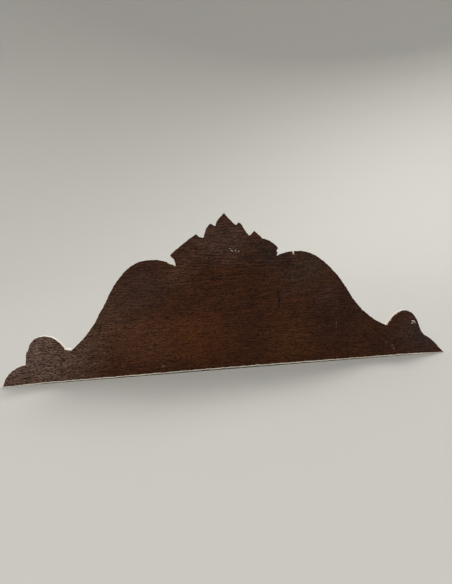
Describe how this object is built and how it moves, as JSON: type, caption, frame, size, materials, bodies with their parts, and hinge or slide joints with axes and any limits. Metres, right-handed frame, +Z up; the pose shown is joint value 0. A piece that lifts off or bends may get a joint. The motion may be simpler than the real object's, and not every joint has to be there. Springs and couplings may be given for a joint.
{
  "type": "carved headpiece",
  "caption": "Low crest board with a leafy peak, round shoulders and lobed ends: leaves and S-scrolls carved on the front, a flat back and a straight foot.",
  "frame": {"origin": "middle of the straight flat underside", "axes": "+Z up, X along the board, the carved front faces -Y and the flat back faces +Y"},
  "size_m": [0.455, 0.017, 0.158],
  "materials": {
    "carved_wood": "dark stained back, worn cream paint on the edges and the front"
  },
  "bodies": {
    "root": {"headpiece": "carved_wood"}
  },
  "joints": []
}
